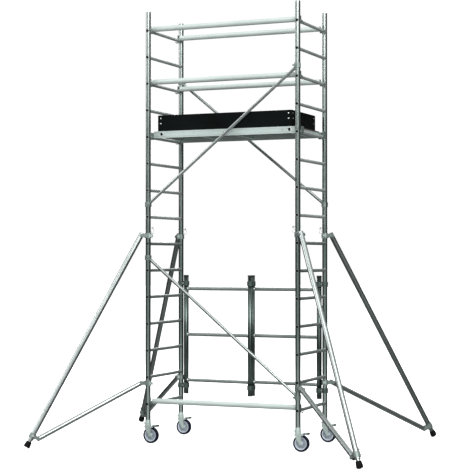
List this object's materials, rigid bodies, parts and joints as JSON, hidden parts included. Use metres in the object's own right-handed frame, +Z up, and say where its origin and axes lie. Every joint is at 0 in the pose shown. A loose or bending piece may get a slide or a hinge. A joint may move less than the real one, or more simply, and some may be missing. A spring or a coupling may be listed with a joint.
{
  "type": "frame scaffold section",
  "caption": "Rolling aluminium frame scaffold with a folding back panel, ladder end frames, hatch deck with toe boards, guardrails, diagonal braces, telescopic stabilisers and braked castors.",
  "frame": {"origin": "on the ground, midway between the four uprights", "axes": "+Z up, +X along the deck towards the hatch end, +Y towards the folding back panel"},
  "size_m": [3.2306, 2.333, 4.041],
  "materials": {
    "frame_aluminium": "extruded, satin",
    "cast_aluminium": "cast, dull",
    "zinc_steel": "zinc plated",
    "dark_casting": "dark coated",
    "phenolic_board": "resin-faced plywood",
    "black_board": "black film-faced plywood",
    "wheel_centre": "moulded",
    "tyre_rubber": "solid tyre",
    "foot_rubber": "moulded"
  },
  "bodies": {
    "tower": {"lower_uprights": "frame_aluminium", "upper_uprights": "frame_aluminium", "lower_rungs": "frame_aluminium", "upper_rungs": "frame_aluminium", "spigots": "frame_aluminium", "joint_pins": "zinc_steel", "left_half_panel": "frame_aluminium", "right_half_panel": "frame_aluminium", "panel_hinges": "dark_casting", "horizontal_braces": "frame_aluminium", "rail_hooks": "cast_aluminium", "diagonal_braces": "frame_aluminium", "diagonal_clamps": "cast_aluminium", "platform_frame": "frame_aluminium", "platform_hooks": "cast_aluminium", "deck_boards": "phenolic_board", "trapdoor_hinges": "zinc_steel", "toe_boards": "black_board", "castor_stems": "zinc_steel"},
    "castor_fl": {"castor_fl_fork": "zinc_steel"},
    "castor_fl_wheel": {"castor_fl_hub": "wheel_centre", "castor_fl_tyre": "tyre_rubber"},
    "castor_fl_brake": {"castor_fl_pedal": "zinc_steel"},
    "castor_fr": {"castor_fr_fork": "zinc_steel"},
    "castor_fr_wheel": {"castor_fr_hub": "wheel_centre", "castor_fr_tyre": "tyre_rubber"},
    "castor_fr_brake": {"castor_fr_pedal": "zinc_steel"},
    "castor_bl": {"castor_bl_fork": "zinc_steel"},
    "castor_bl_wheel": {"castor_bl_hub": "wheel_centre", "castor_bl_tyre": "tyre_rubber"},
    "castor_bl_brake": {"castor_bl_pedal": "zinc_steel"},
    "castor_br": {"castor_br_fork": "zinc_steel"},
    "castor_br_wheel": {"castor_br_hub": "wheel_centre", "castor_br_tyre": "tyre_rubber"},
    "castor_br_brake": {"castor_br_pedal": "zinc_steel"},
    "stabiliser_fl": {"stabiliser_fl_tube": "frame_aluminium", "stabiliser_fl_brace": "frame_aluminium", "stabiliser_fl_couplers": "zinc_steel", "stabiliser_fl_lock": "cast_aluminium"},
    "stabiliser_fl_leg": {"stabiliser_fl_inner_tube": "frame_aluminium", "stabiliser_fl_foot": "foot_rubber"},
    "stabiliser_fr": {"stabiliser_fr_tube": "frame_aluminium", "stabiliser_fr_brace": "frame_aluminium", "stabiliser_fr_couplers": "zinc_steel", "stabiliser_fr_lock": "cast_aluminium"},
    "stabiliser_fr_leg": {"stabiliser_fr_inner_tube": "frame_aluminium", "stabiliser_fr_foot": "foot_rubber"},
    "stabiliser_bl": {"stabiliser_bl_tube": "frame_aluminium", "stabiliser_bl_brace": "frame_aluminium", "stabiliser_bl_couplers": "zinc_steel", "stabiliser_bl_lock": "cast_aluminium"},
    "stabiliser_bl_leg": {"stabiliser_bl_inner_tube": "frame_aluminium", "stabiliser_bl_foot": "foot_rubber"},
    "stabiliser_br": {"stabiliser_br_tube": "frame_aluminium", "stabiliser_br_brace": "frame_aluminium", "stabiliser_br_couplers": "zinc_steel", "stabiliser_br_lock": "cast_aluminium"},
    "stabiliser_br_leg": {"stabiliser_br_inner_tube": "frame_aluminium", "stabiliser_br_foot": "foot_rubber"},
    "trapdoor": {"trapdoor": "phenolic_board"}
  },
  "joints": [
    {"name": "castor_fl_swivel", "type": "hinge", "parent": "tower", "child": "castor_fl", "pos_m": [-0.75, -0.3575, 0.165], "axis": [0, 0, 1], "continuous": true},
    {"name": "castor_fl_roll", "type": "hinge", "parent": "castor_fl", "child": "castor_fl_wheel", "pos_m": [-0.718, -0.3575, 0.075], "axis": [0, 1, 0], "continuous": true},
    {"name": "castor_fl_brake", "type": "hinge", "parent": "castor_fl", "child": "castor_fl_brake", "pos_m": [-0.696, -0.3575, 0.156], "axis": [0, 1, 0], "range_deg": [0, 12]},
    {"name": "castor_fr_swivel", "type": "hinge", "parent": "tower", "child": "castor_fr", "pos_m": [0.75, -0.3575, 0.165], "axis": [0, 0, 1], "continuous": true},
    {"name": "castor_fr_roll", "type": "hinge", "parent": "castor_fr", "child": "castor_fr_wheel", "pos_m": [0.782, -0.3575, 0.075], "axis": [0, 1, 0], "continuous": true},
    {"name": "castor_fr_brake", "type": "hinge", "parent": "castor_fr", "child": "castor_fr_brake", "pos_m": [0.804, -0.3575, 0.156], "axis": [0, 1, 0], "range_deg": [0, 12]},
    {"name": "castor_bl_swivel", "type": "hinge", "parent": "tower", "child": "castor_bl", "pos_m": [-0.75, 0.3575, 0.165], "axis": [0, 0, 1], "continuous": true},
    {"name": "castor_bl_roll", "type": "hinge", "parent": "castor_bl", "child": "castor_bl_wheel", "pos_m": [-0.718, 0.3575, 0.075], "axis": [0, 1, 0], "continuous": true},
    {"name": "castor_bl_brake", "type": "hinge", "parent": "castor_bl", "child": "castor_bl_brake", "pos_m": [-0.696, 0.3575, 0.156], "axis": [0, 1, 0], "range_deg": [0, 12]},
    {"name": "castor_br_swivel", "type": "hinge", "parent": "tower", "child": "castor_br", "pos_m": [0.75, 0.3575, 0.165], "axis": [0, 0, 1], "continuous": true},
    {"name": "castor_br_roll", "type": "hinge", "parent": "castor_br", "child": "castor_br_wheel", "pos_m": [0.782, 0.3575, 0.075], "axis": [0, 1, 0], "continuous": true},
    {"name": "castor_br_brake", "type": "hinge", "parent": "castor_br", "child": "castor_br_brake", "pos_m": [0.804, 0.3575, 0.156], "axis": [0, 1, 0], "range_deg": [0, 12]},
    {"name": "stabiliser_fl_swing", "type": "hinge", "parent": "tower", "child": "stabiliser_fl", "pos_m": [-0.75, -0.3575, 1.25], "axis": [0, 0, 1], "range_deg": [-40, 40]},
    {"name": "stabiliser_fl_leg_slide", "type": "slide", "parent": "stabiliser_fl", "child": "stabiliser_fl_leg", "axis": [-0.357, -0.3329, -0.8728], "range_m": [0, 0.25]},
    {"name": "stabiliser_fr_swing", "type": "hinge", "parent": "tower", "child": "stabiliser_fr", "pos_m": [0.75, -0.3575, 1.25], "axis": [0, 0, 1], "range_deg": [-40, 40]},
    {"name": "stabiliser_fr_leg_slide", "type": "slide", "parent": "stabiliser_fr", "child": "stabiliser_fr_leg", "axis": [0.357, -0.3329, -0.8728], "range_m": [0, 0.25]},
    {"name": "stabiliser_bl_swing", "type": "hinge", "parent": "tower", "child": "stabiliser_bl", "pos_m": [-0.75, 0.3575, 1.25], "axis": [0, 0, 1], "range_deg": [-40, 40]},
    {"name": "stabiliser_bl_leg_slide", "type": "slide", "parent": "stabiliser_bl", "child": "stabiliser_bl_leg", "axis": [-0.357, 0.3329, -0.8728], "range_m": [0, 0.25]},
    {"name": "stabiliser_br_swing", "type": "hinge", "parent": "tower", "child": "stabiliser_br", "pos_m": [0.75, 0.3575, 1.25], "axis": [0, 0, 1], "range_deg": [-40, 40]},
    {"name": "stabiliser_br_leg_slide", "type": "slide", "parent": "stabiliser_br", "child": "stabiliser_br_leg", "axis": [0.357, 0.3329, -0.8728], "range_m": [0, 0.25]},
    {"name": "trapdoor_open", "type": "hinge", "parent": "tower", "child": "trapdoor", "pos_m": [0.3225, 0.235, 2.9255], "axis": [-1, 0, 0], "range_deg": [0, 90]}
  ]
}
